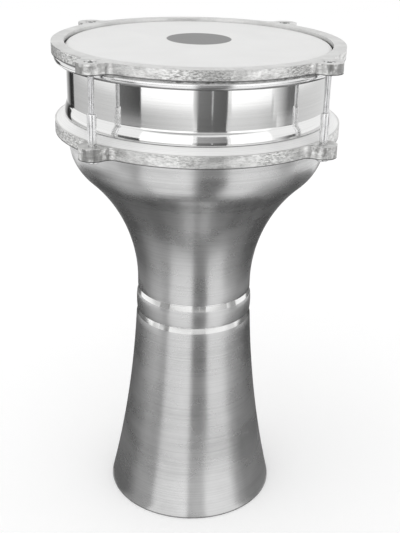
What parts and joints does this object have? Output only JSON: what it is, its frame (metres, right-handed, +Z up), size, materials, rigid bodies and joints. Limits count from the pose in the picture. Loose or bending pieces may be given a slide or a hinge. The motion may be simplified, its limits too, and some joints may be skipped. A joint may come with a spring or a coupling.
{
  "type": "goblet drum",
  "caption": "Goblet drum with a turned metal shell, a plastic head and a cast ring drawn down by long screws in sleeve nuts.",
  "frame": {"origin": "centre of the foot's rim, on the surface that the drum stands on", "axes": "+Z up along the drum's axis; -Y is the side that faces the viewer in the picture"},
  "size_m": [0.2436, 0.2436, 0.4301],
  "materials": {
    "shell_metal": "turned and polished, with fine lines round the drum",
    "cast_metal": "rough as cast outside, machined smooth on top",
    "hoop_metal": "polished",
    "head_plastic": "smooth opaque white film",
    "plated_steel": "bright plated"
  },
  "bodies": {
    "drum_body": {"shell": "shell_metal", "lower_ring": "cast_metal", "sleeve_nut_1": "plated_steel", "sleeve_nut_2": "plated_steel", "sleeve_nut_3": "plated_steel", "sleeve_nut_4": "plated_steel"},
    "head_assembly": {"tension_ring": "cast_metal", "flesh_hoop": "hoop_metal", "head_film": "head_plastic"},
    "screw_1": {"tension_screw_1": "plated_steel"},
    "screw_2": {"tension_screw_2": "plated_steel"},
    "screw_3": {"tension_screw_3": "plated_steel"},
    "screw_4": {"tension_screw_4": "plated_steel"}
  },
  "joints": [
    {"name": "head_travel", "type": "slide", "parent": "drum_body", "child": "head_assembly", "axis": [0, 0, 1], "range_m": [0, 0.012]},
    {"name": "screw_turn_1", "type": "hinge", "parent": "head_assembly", "child": "screw_1", "pos_m": [-0.07927, -0.09859, 0.4], "axis": [0, 0, 1], "range_deg": [0, 5400]},
    {"name": "screw_turn_2", "type": "hinge", "parent": "head_assembly", "child": "screw_2", "pos_m": [0.09859, -0.07927, 0.4], "axis": [0, 0, 1], "range_deg": [0, 5400]},
    {"name": "screw_turn_3", "type": "hinge", "parent": "head_assembly", "child": "screw_3", "pos_m": [0.07927, 0.09859, 0.4], "axis": [0, 0, 1], "range_deg": [0, 5400]},
    {"name": "screw_turn_4", "type": "hinge", "parent": "head_assembly", "child": "screw_4", "pos_m": [-0.09859, 0.07927, 0.4], "axis": [0, 0, 1], "range_deg": [0, 5400]}
  ],
  "couplings": [
    {"joint": "screw_turn_1", "follows": "head_travel", "rad_per_m": 7854},
    {"joint": "screw_turn_2", "follows": "head_travel", "rad_per_m": 7854},
    {"joint": "screw_turn_3", "follows": "head_travel", "rad_per_m": 7854},
    {"joint": "screw_turn_4", "follows": "head_travel", "rad_per_m": 7854}
  ]
}
